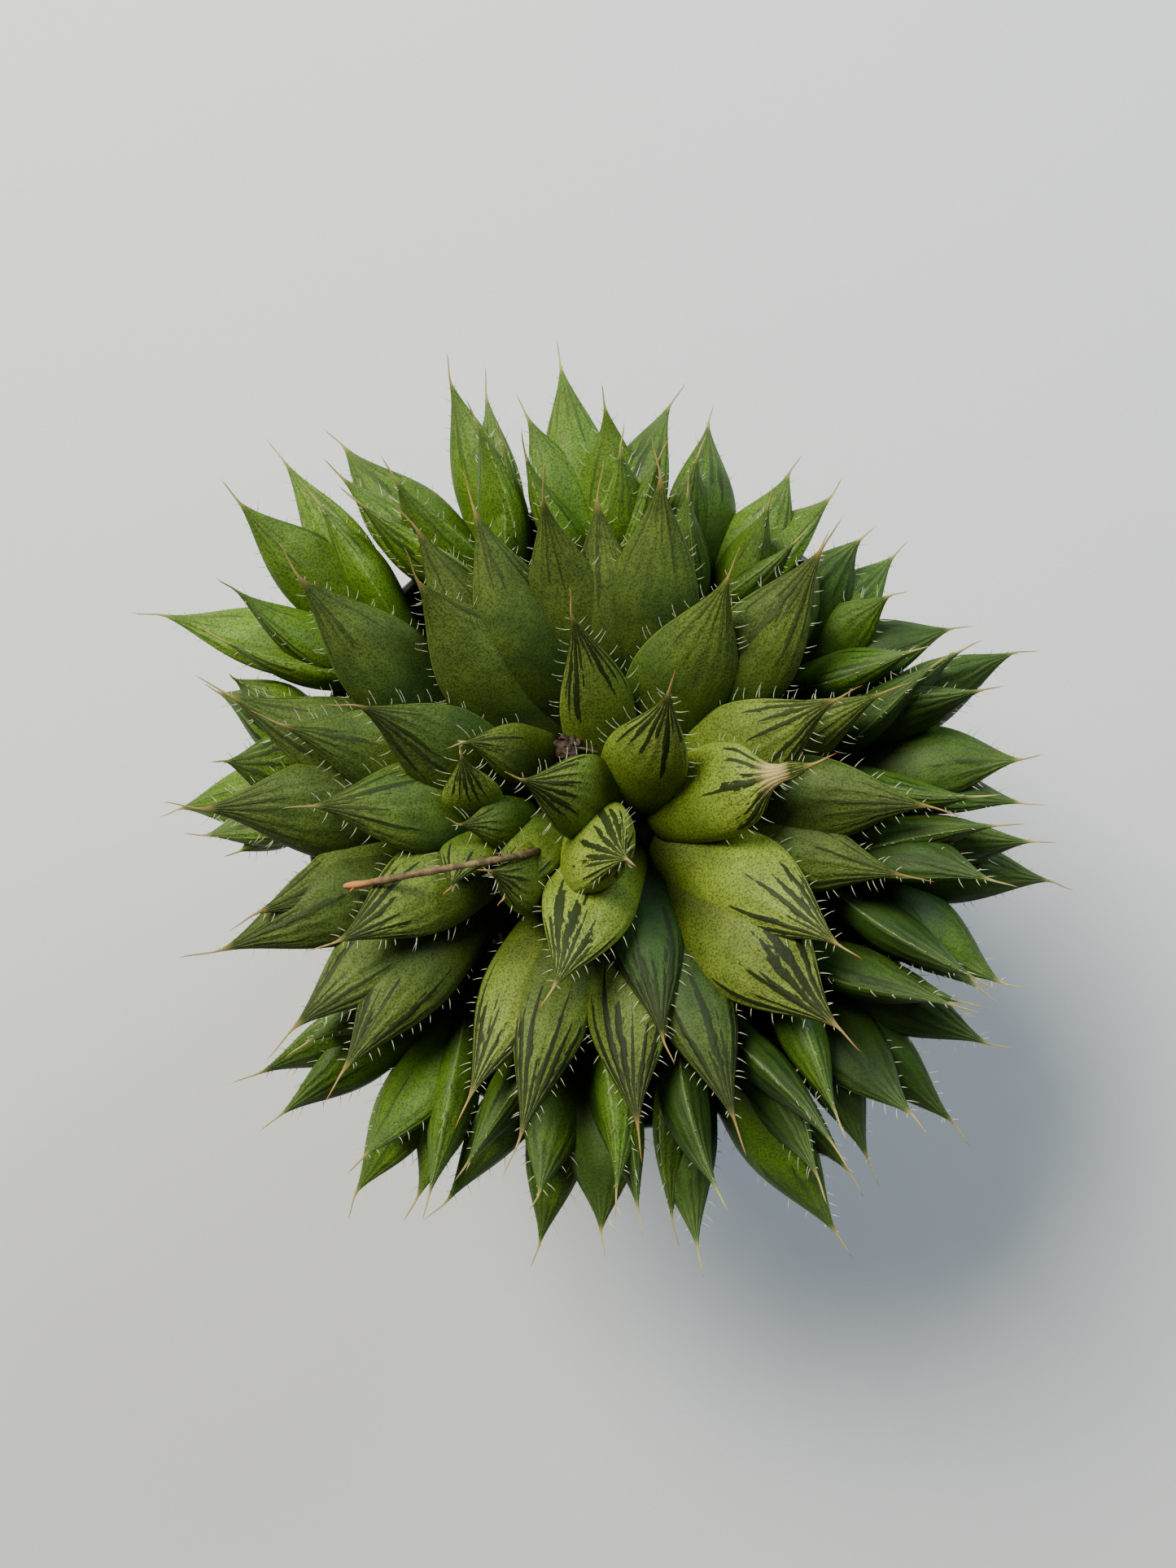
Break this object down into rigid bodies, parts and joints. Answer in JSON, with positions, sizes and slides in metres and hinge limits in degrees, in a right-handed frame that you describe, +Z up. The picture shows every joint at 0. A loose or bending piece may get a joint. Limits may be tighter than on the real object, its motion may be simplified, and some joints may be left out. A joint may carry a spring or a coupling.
{
  "type": "potted haworthia cooperi",
  "caption": "Clump-forming succulent of plump, awned and toothed leaf rosettes growing in soil in a round tapered plastic nursery pot.",
  "frame": {"origin": "centre of the pot's flat underside, on the surface that the pot stands on", "axes": "+Z up along the pot's axis; +X to the right and +Y to the top of the plant as it is seen from straight above in the picture"},
  "size_m": [0.1332, 0.1343, 0.115],
  "materials": {
    "pot_plastic": "black moulded plastic, slightly scuffed and dusty",
    "soil": "gritty dark brown potting mix",
    "leaf_green": "waxy green leaf with translucent, dark-lined tip",
    "young_leaf_green": "waxy bright yellow-green leaf with clear tip",
    "dry_brown": "dry brown twisted stalk"
  },
  "bodies": {
    "root": {"pot": "pot_plastic", "soil": "soil", "rosette_main": "leaf_green", "rosette_offset_1": "young_leaf_green", "rosette_offset_2": "young_leaf_green", "rosette_offset_3": "young_leaf_green", "rosette_offset_4": "young_leaf_green", "rosette_offset_5": "young_leaf_green", "rosette_offset_6": "young_leaf_green", "rosette_offset_7": "young_leaf_green", "rosette_offset_8": "young_leaf_green", "rosette_offset_9": "young_leaf_green", "rosette_offset_10": "young_leaf_green", "rosette_offset_11": "young_leaf_green", "rosette_offset_12": "young_leaf_green", "dry_flower_stalk": "dry_brown", "dry_flower_scrap": "dry_brown"}
  },
  "joints": []
}
